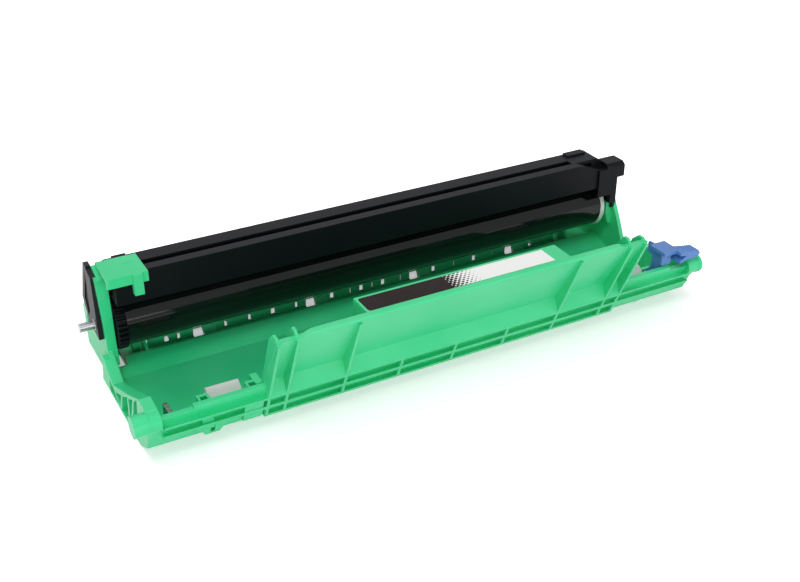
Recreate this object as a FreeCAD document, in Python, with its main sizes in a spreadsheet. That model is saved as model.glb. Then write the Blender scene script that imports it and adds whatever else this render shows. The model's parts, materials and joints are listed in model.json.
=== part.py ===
import FreeCAD, Part
import os
import re
import Sketcher

# Printer drum unit: a long tray that carries a photoconductor drum, its
# charger, a transfer roller, a wire cleaner, two pushers and a lock lever.
# Every piece is drawn about the drum's axis: X along the drum, Y to the back,
# Z up, with X = 0 at the middle of the paper. The pieces' Placements then put
# that point where the finished part wants it.

doc = FreeCAD.newDocument("printer_drum_unit")
sheet = doc.addObject("Spreadsheet::Sheet", "sizes")

SIZES = [
    # where the drum's axis lies in the finished part
    ("mid_x", 3.5),
    ("axis_y", 30.4),
    ("axis_z", 26.0),
    # clearances
    ("run_gap", 0.05),
    ("free_gap", 0.3),
    ("side_gap", 0.4),
    # drum
    ("tube_length", 248.0),
    ("tube_radius", 12.0),
    ("tube_wall", 0.9),
    ("shaft_radius", 2.4),
    ("shaft_end_radius", 2.0),
    ("shaft_end_long", 6.5),
    ("flange_lip", 2.2),
    ("flange_rise", 0.45),
    ("flange_plug", 8.0),
    # gears
    ("drum_teeth", 30),
    ("roller_teeth", 15),
    ("gear_width", 4.2),
    ("tooth_share", 0.47),
    # transfer roller
    ("sponge_radius", 6.0),
    ("nip_angle", -48.0),
    ("nip_gap", 0.3),
    ("roller_shaft_radius", 2.5),
    ("bearing_width", 3.6),
    ("bearing_half", 4.4),
    ("bearing_top", 4.2),
    # tray floor
    ("floor_top", -23.6),
    ("base_drop", -26.0),
    ("tray_back", 30.0),
    ("gate_y", -0.8),
    ("gate_z", -19.5),
    ("gate_width", 1.4),
    ("gate_skin", 2.5),
    ("fold_y", -11.0),
    ("bend_y", -56.0),
    ("toe_y", -66.0),
    ("toe_z", -17.5),
    # front rim and the leaning front plane
    ("lean", 0.448),
    ("front_y", -76.6),
    ("rail_z", -7.0),
    ("rail_two_z", -12.5),
    ("rail_three_z", -18.3),
    ("rail_skin", 1.3),
    ("rail_two_skin", 1.9),
    ("rail_reach", 2.5),
    ("rail_root", 1.4),
    ("rim_z", -3.3),
    ("rim_front_y", -75.05),
    ("rim_width", 3.4),
    ("skirt_z", -20.0),
    ("step_rise", 1.6),
    # high wall
    ("wall_foot_y", -73.9),
    ("wall_foot_z", -0.4),
    ("wall_top_y", -90.3),
    ("wall_top_z", 26.2),
    ("wall_skin", 2.7),
    ("wall_step", 1.3),
    ("wall_step_run", 6.0),
    # ribs
    ("rib_pitch", 26.35),
    ("rib_skin", 1.3),
    ("rib_pair", 7.9),
    ("rib_tip_z", 24.8),
    ("crest_z", 28.4),
    ("crest_drop", 1.3),
    ("crest_front_y", -87.2),
    ("crest_back_y", -85.0),
    ("crest_end_y", -81.5),
    ("crest_end_z", 24.0),
    # label deck
    ("deck_half", 48.5),
    ("deck_rise", 1.1),
    ("deck_depth", 12.5),
    ("deck_skin", 1.8),
    ("deck_lip", 9.5),
    ("deck_rib_pitch", 31.8),
    # paper gap behind the gate, then a low sill and a wall with windows
    ("inlet_near", 0.75),
    ("inlet_far", 5.05),
    ("sill_top", -24.4),
    ("screen_front", 9.6),
    ("screen_back", 10.6),
    ("screen_top", -20.3),
    ("bay_back", 18.8),
    ("bridge_skin", 1.2),
    ("window_low", -24.2),
    ("window_high", -21.0),
    ("window_wide", 2.1),
    ("window_slim", 1.4),
    ("window_thin", 0.7),
    ("gap_first", -89.8),
    ("gap_pitch", 56.87),
    ("gap_low", 5.3),
    ("gap_high", 4.2),
    ("ramp_width", 6.5),
    ("ramp_front", 6.6),
    ("channel_skin", 1.2),
    ("channel_top", -16.6),
    ("channel_knee", 4.6),
    ("channel_back", 8.6),
    # the window nearest the middle
    ("window_a", 3.05),
    # well under the drum gear
    ("well_front", -4.6),
    ("well_back", 12.0),
    # paper guide fins at the back
    ("fin_count", 13),
    ("fin_skin", 1.3),
    ("fin_front", 19.6),
    ("fin_nose_z", -15.5),
    ("fin_top_y", 25.6),
    ("fin_top_z", -9.5),
    ("fin_back_z", -12.5),
    ("back_skin", 2.0),
    ("back_top", -14.5),
    # end walls
    ("side_skin", 2.2),
    ("post_front", -8.0),
    ("post_back", 4.5),
    ("post_top", 25.4),
    ("post_deep", 2.4),
    ("post_foot", -12.6),
    ("foot_z", -17.2),
    ("foot_front", -9.2),
    ("foot_back", -3.0),
    ("shoulder_y", 16.5),
    ("shoulder_z", 7.5),
    ("haunch_z", -6.0),
    ("dip_y", -21.0),
    ("dip_z", -18.5),
    ("brow_y", -46.0),
    ("brow_z", -8.0),
    ("corner_y", -64.0),
    ("corner_z", 0.8),
    ("nose_y", -72.5),
    ("nose_z", 0.2),
    ("heel_y", -11.0),
    ("heel_z", -12.0),
    ("right_front", -12.2),
    ("right_top", 8.6),
    ("right_knee_y", -17.0),
    ("right_knee_z", -4.5),
    ("flange_deep", 2.0),
    ("flange_width", 3.4),
    ("flange_foot", -9.0),
    ("truss_reach", 2.6),
    ("truss_skin", 1.3),
    ("boss_y", -73.4),
    ("boss_z", -4.4),
    ("boss_radius", 4.6),
    ("boss_step", 0.4),
    ("hook_front", -9.0),
    ("hook_back", 0.5),
    ("hook_rise", 2.5),
    # lugs under the front skirt
    ("lug_drop", -19.6),
    ("lug_slit", 1.8),
    ("lug_taper", 3.6),
    ("catch_half", 2.4),
    ("catch_front", -73.0),
    ("catch_back", -67.0),
    ("catch_top", -2.8),
    ("catch_foot", -15.5),
    ("catch_hole", 1.4),
    ("stop_top", -2.6),
    ("stop_back", -62.4),
    ("stop_low", -9.2),
    # charger housing
    ("hood_top", 28.0),
    ("hood_front", -13.6),
    ("hood_back", 3.2),
    ("hood_lip", 13.6),
    ("hood_skin", 1.8),
    ("groove_front", -8.8),
    ("groove_back", -4.9),
    ("groove_end", 2.2),
    ("hip_y", 16.4),
    ("hip_z", 6.0),
    ("hip_foot", 3.0),
    ("shelf_front", 2.6),
    ("shelf_foot", 13.6),
    ("bump_rise", 0.9),
    ("corner_foot", 20.0),
    ("corner_fall", 4.7),
    ("corner_back", -9.0),
    # left cover and right cap
    ("cover_skin", 2.2),
    ("cover_chin_y", 9.5),
    ("cover_chin_z", -3.0),
    ("cover_tip_y", -6.6),
    ("cover_tip_z", -5.0),
    ("cap_hood_drop", 8.8),
    ("cap_lip_z", 4.0),
    ("cap_front", -14.6),
    ("cap_chamfer", 3.2),
    ("slope_z", 20.8),
    ("tongue_z", 0.8),
    ("block_top", 25.2),
    ("block_low", 17.6),
    ("block_back", -4.6),
    # wire and cleaner
    ("wire_y", -6.85),
    ("wire_z", 20.2),
    ("wire_radius", 0.15),
    ("slider_length", 17.4),
    ("slider_front", -19.2),
    ("slider_back", -1.6),
    ("slider_skin", 1.8),
    ("slider_lip", 4.6),
    ("finger_drop", 9.4),
    ("finger_reach", 1.6),
    ("stem_half", 2.2),
    ("pad_height", 2.4),
    ("foot_reach", 1.0),
    ("mark_front", -8.1),
    ("mark_back", -7.4),
    ("mark_rise", 0.25),
    # grid and strips
    ("grid_skin", 0.3),
    ("grid_slot_count", 7),
    ("grid_slot_long", 18.0),
    ("grid_slot_wide", 8.0),
    ("strip_skin", 0.4),
    ("brush_height", 4.6),
    # lock lever
    ("lever_skin", 1.9),
    ("lever_front", -73.2),
    ("lever_back", -64.2),
    ("lever_roof", 6.4),
    ("lever_roof_skin", 1.6),
    ("lever_wing_back", -60.6),
    ("lever_wing_drop", 5.2),
    ("thumb_front", -78.2),
    ("thumb_back", -71.6),
    ("thumb_tail_z", 4.6),
    ("thumb_low", 2.2),
    ("thumb_skin", 1.4),
    ("ridge_pitch", 1.45),
    ("ridge_rise", 0.5),
    ("stem_flange_half", 2.6),
    ("stem_flange_skin", 1.2),
    ("eye_front", -66.8),
    ("eye_back", -60.4),
    ("lug_low", -16.6),
    ("pivot_z", -12.4),
    ("pivot_radius", 1.5),
    ("eye_radius", 3.1),
    ("lever_lug_skin", 1.8),
    # pushers
    ("pusher_width", 14.0),
    ("pusher_top", -4.2),
    ("pusher_front", -68.0),
    ("pusher_back", -61.6),
    ("pusher_toe_y", -55.6),
    ("pusher_toe_z", -16.0),
    ("trunnion_y", -58.8),
    ("trunnion_z", -18.4),
    ("trunnion_radius", 1.2),
    ("trunnion_reach", 1.6),
    ("ear_skin", 1.6),
    ("ear_half", 2.6),
    # strip in the left front corner
    ("tab_width", 1.8),
    ("tab_front", -71.4),
    ("tab_back", -62.0),
    ("tab_skin", 0.5),
    ("tab_top", -6.0),
]

# sizes along the drum that are counted on from another one, so that neighbours
# keep together: the name, what it is counted from, and how far beyond it
REACHES = [
    # transfer roller, from the drum's end
    ("sponge_half", "bearing_near", -7.2),
    ("bearing_near", "tube_length / 2", -8.8),
    ("roller_shaft_right", "bearing_near", 6.3),
    # tray, from the drum gear's outer face
    ("tray_half", "gear_start", 2.8),
    ("rail_end", "tray_half", -0.8),
    ("step_x", "rail_end", -12.7),
    ("wall_half", "tray_half", -43.2),
    ("wall_step_half", "wall_half", -16.3),
    ("inlet_half", "tray_half", -20.0),
    ("channel_half", "inlet_half", 2.5),
    ("bridge_half", "inlet_half", -11.0),
    ("well_out", "gear_start", 1.8),
    ("well_in", "tube_length / 2", 0.2),
    ("fin_half", "tray_half", -23.0),
    # windows, each from the one before it
    ("window_b", "window_a", 5.95),
    ("window_c", "window_b", 10.0),
    ("window_e", "window_c", 18.9),
    ("window_f", "window_e", 12.1),
    ("window_g", "window_f", 11.9),
    ("window_i", "window_g", 11.9),
    ("window_k", "window_i", 22.9),
    ("window_l", "window_k", 5.8),
    # posts, bosses, shaft and lugs, from the tray's ends
    ("post_out", "tray_half", 3.3),
    ("post_in", "tray_half", -1.8),
    ("post_foot_out", "tray_half", 1.6),
    ("post_foot_in", "tray_half", -2.1),
    ("boss_left", "tray_half", 11.0),
    ("boss_right", "tray_half", 4.0),
    ("shaft_left", "tray_half", 11.0),
    ("shaft_right", "tray_half", 3.5),
    ("lug_left", "tray_half", -15.0),
    ("lug_right", "lug_left", -12.0),
    # pushers with their catches and stop
    ("pusher_mid", "tray_half", -29.4),
    ("catch_left", "pusher_mid", 10.2),
    ("catch_right", "pusher_mid", -10.2),
    ("stop_out", "catch_right", -1.2),
    ("pad_left", "pusher_mid", -4.6),
    ("pad_right", "pad_left", -8.0),
    # charger housing and its wire
    ("hood_left", "tray_half", -3.4),
    ("hood_right", "tray_half", -11.6),
    ("groove_right", "hood_right", -13.4),
    ("bump_left", "hood_left", -3.8),
    ("bump_right", "bump_left", -6.0),
    ("ridge_left", "hood_right", -10.8),
    ("corner_left", "ridge_left", -0.6),
    ("wire_left", "hood_left", -1.4),
    ("wire_right", "hood_right", -1.4),
    # right cap
    ("cap_out", "tray_half", -3.6),
    ("slope_x", "cap_out", -6.0),
    ("tongue_in", "tray_half", -2.0),
    ("block_end", "tray_half", 4.4),
    # cleaner
    ("slider_left", "hood_left", 4.2),
    ("finger_left", "hood_left", -6.4),
    ("finger_right", "finger_left", -4.0),
    ("stem_x", "finger_left", 0.8),
    ("mark_left", "hood_left", -4.4),
    ("mark_right", "mark_left", -5.2),
    # lock lever and the strip in the corner
    ("lever_x", "tray_half", -15.0),
    ("lever_roof_left", "lever_x", -3.0),
    ("lever_roof_right", "lever_x", 5.5),
    ("thumb_end", "lever_x", 15.8),
    ("ridge_first", "lever_roof_right", 0.9),
    ("tab_x", "tray_half", -5.6),
]

# sizes that are another one outright
SAME = {
    "gear_start": "tube_length / 2 + gear_width",
    "cap_end": "tray_half",
    "needle_half": "groove_right",
}

NAMES = set()
COUNTED_FROM = {alias: base for alias, base, number in REACHES}
rows = SIZES + [(alias, number) for alias, base, number in REACHES]
for row, (alias, number) in enumerate(rows, start=1):
    sheet.set("A%d" % row, alias)
    sheet.set("B%d" % row, str(number))
    sheet.setAlias("B%d" % row, alias)
    NAMES.add(alias)
doc.recompute()


def cell_of(match):
    """What one word of a formula stands for in the sheet."""
    word = match.group(0)
    if word in SAME:
        return "(" + bind(SAME[word]) + ")"
    if word in COUNTED_FROM:
        return "(" + bind(COUNTED_FROM[word]) + " + sizes." + word + ")"
    if word in NAMES:
        return "sizes." + word
    return word


def bind(text):
    """A formula in the sheet's own names."""
    return re.sub(r"[a-z_]+", cell_of, text)


def value(text):
    return float(sheet.evalExpression(bind(text)))


SIDE = "YZ_Plane"
PLAN = "XY_Plane"
FACE = "XZ_Plane"


def new_body(label):
    body = doc.addObject("PartDesign::Body", label)
    body.Label = label
    body.AllowCompound = True
    body.setExpression("Placement.Base.x", bind("mid_x"))
    body.setExpression("Placement.Base.y", bind("axis_y"))
    body.setExpression("Placement.Base.z", bind("axis_z"))
    return body


def origin_of(body, role):
    return next(o for o in body.Origin.OriginFeatures if o.Role == role)


def new_sketch(body, name, role, offset):
    sketch = body.newObject("Sketcher::SketchObject", name)
    sketch.AttachmentSupport = (origin_of(body, role), [""])
    sketch.MapMode = "FlatFace"
    sketch.setExpression("AttachmentOffset.Base.z", bind(offset))
    return sketch


def add_outline(sketch, points):
    """A closed polygon whose corners are each tied to two formulas."""
    spots = [FreeCAD.Vector(value(u), value(v), 0) for u, v in points]
    first = sketch.GeometryCount
    count = len(spots)
    sketch.addGeometry([Part.LineSegment(spots[i], spots[(i + 1) % count]) for i in range(count)], False)
    rules = []
    for i in range(count):
        rules.append(Sketcher.Constraint("Coincident", first + i, 2, first + (i + 1) % count, 1))
    for i, spot in enumerate(spots):
        rules.append(Sketcher.Constraint("DistanceX", -1, 1, first + i, 1, spot.x))
        rules.append(Sketcher.Constraint("DistanceY", -1, 1, first + i, 1, spot.y))
    at = sketch.ConstraintCount
    sketch.addConstraint(rules)
    for i, (u, v) in enumerate(points):
        sketch.setExpression("Constraints[%d]" % (at + count + 2 * i), bind(u))
        sketch.setExpression("Constraints[%d]" % (at + count + 2 * i + 1), bind(v))


def add_circle(sketch, u, v, radius):
    centre = FreeCAD.Vector(value(u), value(v), 0)
    first = sketch.addGeometry(Part.Circle(centre, FreeCAD.Vector(0, 0, 1), value(radius)), False)
    at = sketch.addConstraint(Sketcher.Constraint("Radius", first, value(radius)))
    sketch.setExpression("Constraints[%d]" % at, bind(radius))
    if (u, v) == ("0", "0"):
        sketch.addConstraint(Sketcher.Constraint("Coincident", first, 3, -1, 1))
        return
    for kind, text, number in (("DistanceX", u, centre.x), ("DistanceY", v, centre.y)):
        at = sketch.addConstraint(Sketcher.Constraint(kind, -1, 1, first, 3, number))
        sketch.setExpression("Constraints[%d]" % at, bind(text))


def add_box(sketch, u_low, u_high, v_low, v_high):
    add_outline(sketch, [(u_low, v_low), (u_high, v_low), (u_high, v_high), (u_low, v_high)])


def pad(body, name, role, start, length, outlines=(), circles=(), boxes=()):
    """Material from the plane at start, along the plane's own normal."""
    sketch = new_sketch(body, name + "_sketch", role, start)
    for points in outlines:
        add_outline(sketch, points)
    for ring in circles:
        add_circle(sketch, *ring)
    for box in boxes:
        add_box(sketch, *box)
    feature = body.newObject("PartDesign::Pad", name)
    feature.Profile = sketch
    feature.Refine = False
    feature.setExpression("Length", bind(length))
    body.Tip = feature
    return feature


def pocket(body, name, role, start, length, outlines=(), circles=(), boxes=()):
    """A cut from the plane at start, against the plane's normal."""
    sketch = new_sketch(body, name + "_sketch", role, start)
    for points in outlines:
        add_outline(sketch, points)
    for ring in circles:
        add_circle(sketch, *ring)
    for box in boxes:
        add_box(sketch, *box)
    feature = body.newObject("PartDesign::Pocket", name)
    feature.Profile = sketch
    feature.Refine = False
    feature.setExpression("Length", bind(length))
    body.Tip = feature
    return feature


def turned(body, name, points):
    """A ring turned about the X axis from an outline of (x, radius) corners."""
    sketch = new_sketch(body, name + "_sketch", PLAN, "0")
    add_outline(sketch, points)
    feature = body.newObject("PartDesign::Revolution", name)
    feature.Profile = sketch
    feature.ReferenceAxis = (origin_of(body, "X_Axis"), [""])
    feature.Angle = 360
    feature.Refine = False
    body.Tip = feature
    return feature


def row_of(body, name, feature, span, count):
    """Copies of a feature in a straight row along X."""
    pattern = body.newObject("PartDesign::LinearPattern", name)
    pattern.Originals = [feature]
    pattern.Direction = (origin_of(body, "X_Axis"), [""])
    pattern.setExpression("Length", bind(span))
    pattern.setExpression("Occurrences", bind(count))
    pattern.Refine = False
    body.Tip = pattern
    return pattern


def mirror_of(body, name, feature):
    """The same feature on the other side of the paper's middle."""
    twin = body.newObject("PartDesign::Mirrored", name)
    twin.Originals = [feature]
    twin.MirrorPlane = (origin_of(body, "YZ_Plane"), [""])
    twin.Refine = False
    body.Tip = twin
    return twin


def front_at(z_text):
    """Y of the leaning front plane at a height."""
    return "front_y + (rail_z - (%s)) * lean" % z_text


def skirt_at(z_text):
    """Y of the skirt wall's outer face, set back behind the front plane."""
    return "front_y + rail_reach + (rail_z - (%s)) * lean" % z_text


def slope_at(y_text):
    """Z of the trough's sloping floor at a depth."""
    return "toe_z + (floor_top - toe_z) * ((%s) - toe_y) / (bend_y - toe_y)" % y_text


def wall_at(z_text):
    """Y of the high wall's outer face at a height."""
    return ("wall_foot_y + (wall_top_y - wall_foot_y) * ((%s) - wall_foot_z)"
            " / (wall_top_z - wall_foot_z)" % z_text)


# The tray
tray_front = new_body("tray_front")

trough = [
    ("gate_y", "gate_z"),
    ("fold_y", "floor_top"),
    ("bend_y", "floor_top"),
    ("toe_y", "toe_z"),
    (skirt_at("rim_z") + " + rim_width", "rim_z"),
    ("rim_front_y", "rim_z"),
    (skirt_at("rail_z"), "rail_z"),
    (skirt_at("skirt_z"), "skirt_z"),
    ("bend_y - 1.0", "base_drop"),
    ("fold_y", "base_drop"),
    ("gate_y", "gate_z - gate_skin"),
    ("gate_y + gate_width", "gate_z - gate_skin"),
    ("gate_y + gate_width", "gate_z"),
]
pad(tray_front, "trough", SIDE, "-tray_half", "2 * tray_half", outlines=[trough])

# behind the gate the floor is open under the drum: the paper comes up through
# the front of that bay, past a low sill and a wall pierced by windows
tray_floor = new_body("tray_floor")
pad(tray_floor, "rear_floor", PLAN, "base_drop", "floor_top - base_drop", boxes=[
    ("-tray_half", "tray_half", "fold_y + 2", "tray_back"),
    ("-inlet_half", "inlet_half", "inlet_near", "bay_back"),
])
pad(tray_floor, "sill", PLAN, "base_drop", "sill_top - base_drop", boxes=[
    ("-inlet_half - 0.4", "inlet_half + 0.4", "inlet_far", "screen_front + 0.3"),
])
windows = []
for width, places in (
        ("window_wide", ("-window_l", "-window_f", "-window_c", "-window_a",
                         "window_b", "window_e", "window_g", "window_k")),
        ("window_slim", ("-window_k", "-window_i", "-window_g", "-window_e")),
        ("window_thin", ("-window_b", "window_a", "window_c", "window_f", "window_i", "window_l"))):
    for place in places:
        windows.append((place + " - " + width + " / 2", place + " + " + width + " / 2",
                        "window_low", "window_high"))
pad(tray_floor, "screen", FACE, "-screen_back", "screen_back - screen_front",
    boxes=[("-inlet_half - 0.4", "inlet_half + 0.4", "base_drop", "screen_top")] + windows)
bridge = pad(tray_floor, "bridge", SIDE, "-bridge_half", "bridge_skin", boxes=[
    ("screen_back - 0.3", "bay_back + 0.3", "base_drop", "floor_top - 0.6"),
])
row_of(tray_floor, "bridges", bridge, "2 * bridge_half", "8")
pad(tray_floor, "back_wall", SIDE, "-tray_half", "2 * tray_half",
    boxes=[("tray_back - back_skin", "tray_back", "base_drop", "back_top")])
ramp = pad(tray_floor, "ramp", SIDE, "gap_first + gap_high", "ramp_width", outlines=[[
    ("ramp_front", "sill_top - 0.5"),
    ("screen_front + 0.4", "sill_top - 0.5"),
    ("screen_front + 0.4", "screen_top - 0.3"),
    ("ramp_front", "sill_top + 0.1"),
]])
row_of(tray_floor, "ramps", ramp, "3 * gap_pitch", "4")

channel_end = pad(tray_floor, "channel_end", SIDE, "channel_half", "channel_skin", outlines=[[
    ("gate_y + 0.3", "floor_top - 0.5"),
    ("gate_y + 0.3", "gate_z - 0.2"),
    ("channel_knee", "channel_top"),
    ("channel_back", "channel_top"),
    ("channel_back", "floor_top - 0.5"),
]])
mirror_of(tray_floor, "channel_ends", channel_end)

fin = pad(tray_floor, "fin", SIDE, "-fin_half - fin_skin / 2", "fin_skin", outlines=[[
    ("fin_front", "floor_top - 0.5"),
    ("fin_front", "fin_nose_z"),
    ("fin_top_y", "fin_top_z"),
    ("tray_back - 0.5", "fin_back_z"),
    ("tray_back - 0.5", "floor_top - 0.5"),
]])
row_of(tray_floor, "fins", fin, "2 * fin_half", "fin_count")

# the leaning high wall between the outer ribs
pad(tray_front, "high_wall", SIDE, "-wall_half", "2 * wall_half", outlines=[[
    ("front_y", "rail_z"),
    ("wall_foot_y", "wall_foot_z"),
    ("wall_top_y", "wall_top_z"),
    ("wall_top_y + wall_skin", "wall_top_z"),
    ("wall_foot_y + wall_skin + 0.2", "wall_foot_z - 0.6"),
    ("wall_foot_y + rim_width", "rim_z - 1.2"),
    ("wall_foot_y + rim_width - 0.6", "rail_z"),
]])
crown = []
for side, order in (("-", (0, 1, 2, 3)), ("", (3, 2, 1, 0))):
    ends = (
        ("(wall_step_half + wall_step_run)", "wall_top_z - 0.2"),
        ("(wall_step_half + wall_step_run * 0.66)", "wall_top_z + wall_step * 0.2"),
        ("(wall_step_half + wall_step_run * 0.3)", "wall_top_z + wall_step * 0.85"),
        ("wall_step_half", "wall_top_z + wall_step"),
    )
    for at in order:
        crown.append((side + ends[at][0], ends[at][1]))
pad(tray_front, "wall_crown", FACE, "-wall_top_y - wall_skin", "wall_skin", outlines=[crown])

# rails along the skirt, which end on the leaning front plane
pad(tray_front, "upper_rails", SIDE, "-rail_end", "2 * rail_end", outlines=[
    [
        (front_at("rail_z"), "rail_z"),
        (front_at("rail_z - rail_skin"), "rail_z - rail_skin"),
        (skirt_at("rail_z - rail_skin") + " + rail_root", "rail_z - rail_skin"),
        (skirt_at("rail_z - rail_skin") + " + rail_root", "rail_z"),
    ],
    [
        (front_at("rail_two_z"), "rail_two_z"),
        (front_at("rail_two_z - rail_two_skin"), "rail_two_z - rail_two_skin"),
        (skirt_at("rail_two_z - rail_two_skin") + " + rail_root", "rail_two_z - rail_two_skin"),
        (skirt_at("rail_two_z - rail_two_skin") + " + rail_root", "rail_two_z"),
    ],
])
pad(tray_front, "low_rail", SIDE, "-wall_half", "2 * wall_half", outlines=[[
    (front_at("rail_three_z"), "rail_three_z"),
    (front_at("rail_three_z - rail_skin"), "rail_three_z - rail_skin"),
    (skirt_at("rail_three_z - rail_skin") + " + rail_root", "rail_three_z - rail_skin"),
    (skirt_at("rail_three_z - rail_skin") + " + rail_root", "rail_three_z"),
]])

# short ribs between the rails, one at each pitch
tray_ribs = new_body("tray_ribs")
low_rib = pad(tray_ribs, "low_rib", SIDE, "-3 * rib_pitch - rib_skin / 2", "rib_skin", outlines=[[
    (front_at("rail_z - 0.2"), "rail_z - 0.2"),
    (front_at("rail_three_z - rail_skin"), "rail_three_z - rail_skin"),
    (skirt_at("rail_three_z - rail_skin") + " + rail_root", "rail_three_z - rail_skin"),
    (skirt_at("rail_z - 0.2") + " + rail_root", "rail_z - 0.2"),
]])
row_of(tray_ribs, "low_ribs", low_rib, "6 * rib_pitch", "7")
tall_rib = pad(tray_ribs, "tall_rib", SIDE, "2 * rib_pitch - rib_skin / 2", "rib_skin", outlines=[[
    (front_at("rib_tip_z"), "rib_tip_z"),
    (front_at("rail_z - 0.2"), "rail_z - 0.2"),
    (skirt_at("rail_z - 0.2") + " + rail_root", "rail_z - 0.2"),
    ("wall_foot_y + 0.8", "wall_foot_z"),
    (wall_at("rib_tip_z") + " + 0.8", "rib_tip_z"),
]])
mirror_of(tray_ribs, "tall_ribs", tall_rib)
crest = [
    (front_at("rib_tip_z"), "rib_tip_z"),
    ("crest_front_y", "crest_z"),
    ("crest_back_y", "crest_z"),
    ("crest_end_y", "crest_end_z"),
    ("wall_foot_y + wall_skin", "wall_foot_z"),
    (skirt_at("rail_three_z - rail_skin") + " + rail_root", "rail_three_z - rail_skin"),
    (front_at("rail_three_z - rail_skin"), "rail_three_z - rail_skin"),
]
crest_rib = pad(tray_ribs, "crest_rib", SIDE, "3 * rib_pitch - rib_skin / 2", "rib_skin", outlines=[crest])
mirror_of(tray_ribs, "crest_ribs", crest_rib)
low_crest = list(crest)
low_crest[1] = ("crest_front_y - 0.4", "crest_z - crest_drop")
low_crest[2] = ("crest_back_y", "crest_z - crest_drop")
end_rib = pad(tray_ribs, "end_rib", SIDE, "3 * rib_pitch + rib_pair - rib_skin / 2", "rib_skin",
              outlines=[low_crest])
mirror_of(tray_ribs, "end_ribs", end_rib)

# the deck behind the wall's top, with a lip and three ribs under it
pad(tray_front, "deck", SIDE, "-deck_half", "2 * deck_half", outlines=[[
    ("wall_top_y + 1.2", "wall_top_z + deck_rise"),
    ("wall_top_y + wall_skin + deck_depth", "wall_top_z + deck_rise"),
    ("wall_top_y + wall_skin + deck_depth", "wall_top_z + deck_rise - deck_lip"),
    ("wall_top_y + wall_skin + deck_depth - deck_skin", "wall_top_z + deck_rise - deck_lip"),
    ("wall_top_y + wall_skin + deck_depth - deck_skin", "wall_top_z + deck_rise - deck_skin"),
    ("wall_top_y + 1.8", "wall_top_z + deck_rise - deck_skin"),
]])
deck_rib = pad(tray_ribs, "deck_rib", SIDE, "-1.5 * deck_rib_pitch - rib_skin / 2", "rib_skin", outlines=[[
    ("wall_top_y + 1.6", "wall_top_z + deck_rise - 0.6"),
    ("wall_top_y + wall_skin + deck_depth - 0.6", "wall_top_z + deck_rise - 0.6"),
    ("wall_top_y + wall_skin + deck_depth - 0.6", "wall_top_z + deck_rise - deck_lip"),
    (wall_at("wall_top_z - 2 * deck_lip") + " + 1.6", "wall_top_z - 2 * deck_lip"),
]])
row_of(tray_ribs, "deck_ribs", deck_rib, "3 * deck_rib_pitch", "4")

# the raised stretch of the low rim beside each pusher
rim_step = pad(tray_ribs, "rim_step", SIDE, "wall_half - 1", "step_x - wall_half + 1", outlines=[[
    ("rim_front_y + 0.2", "rim_z - 1"),
    ("rim_front_y - 0.1", "rim_z + step_rise"),
    ("rim_front_y + rim_width - 1", "rim_z + step_rise"),
    ("rim_front_y + rim_width - 0.6", "rim_z - 1"),
]])
mirror_of(tray_ribs, "rim_steps", rim_step)

# end walls
tray_ends = new_body("tray_ends")
left_wall = [
    ("post_front", "post_top"),
    ("post_back", "post_top"),
    ("shoulder_y", "shoulder_z"),
    ("tray_back", "haunch_z"),
    ("tray_back", "base_drop"),
    ("bend_y - 1.0", "base_drop"),
    (skirt_at("skirt_z"), "skirt_z"),
    (skirt_at("rim_z"), "rim_z"),
    ("nose_y", "nose_z"),
    ("corner_y", "corner_z"),
    ("brow_y", "brow_z"),
    ("dip_y", "dip_z"),
    ("heel_y", "heel_z"),
    ("post_front", "heel_z + 2"),
]
pad(tray_ends, "left_wall", SIDE, "-tray_half - side_skin", "side_skin", outlines=[left_wall])
right_wall = [
    ("right_front", "cap_lip_z"),
    ("right_front + 2", "right_top"),
    ("post_back + 6", "right_top"),
    ("shoulder_y + 3", "shoulder_z - 4"),
    ("tray_back", "haunch_z"),
    ("tray_back", "base_drop"),
    ("bend_y - 1.0", "base_drop"),
    (skirt_at("skirt_z"), "skirt_z"),
    (skirt_at("rim_z"), "rim_z"),
    ("nose_y", "nose_z"),
    ("corner_y", "corner_z"),
    ("brow_y", "brow_z"),
    ("dip_y - 2", "dip_z + 1.5"),
    ("right_knee_y", "right_knee_z"),
]
pad(tray_ends, "right_wall", SIDE, "tray_half", "side_skin", outlines=[right_wall])
pad(tray_ends, "post", FACE, "-post_front - post_deep", "post_deep", outlines=[[
    ("-post_out", "post_top"),
    ("-post_in", "post_top"),
    ("-post_foot_in", "post_foot"),
    ("-post_foot_out", "post_foot"),
]])
pad(tray_ends, "post_foot_block", PLAN, "foot_z", "post_foot - foot_z + 0.4",
    boxes=[("-post_foot_out - 0.8", "-post_foot_in", "foot_front", "foot_back")])
pad(tray_ends, "post_stay", SIDE, "-tray_half - 0.2", "1.6", outlines=[[
    ("foot_back", "foot_z + 0.5"),
    ("foot_front + 0.4", "foot_z + 0.5"),
    ("heel_y - 3", "floor_top - 0.5"),
    ("foot_back", "floor_top - 0.5"),
]])
pad(tray_ends, "hook", SIDE, "-tray_half - side_skin", "side_skin", outlines=[[
    ("hook_front", "post_top - 0.4"),
    ("hook_front + 0.6", "post_top + 1.0"),
    ("hook_back - 1.6", "post_top + hook_rise"),
    ("hook_back", "post_top + hook_rise"),
    ("hook_back", "post_top - 0.4"),
]])

# an upright flange inside the right wall, below the end cap's tongue
pad(tray_ends, "right_flange", FACE, "-right_front - flange_deep", "flange_deep", outlines=[[
    ("tray_half - flange_width", "cap_lip_z - 0.6"),
    ("tray_half + 0.2", "cap_lip_z - 0.6"),
    ("tray_half + 0.2", "flange_foot"),
    ("tray_half - 1.4", "flange_foot"),
    ("tray_half - flange_width", "flange_foot + 5.5"),
]])

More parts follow.
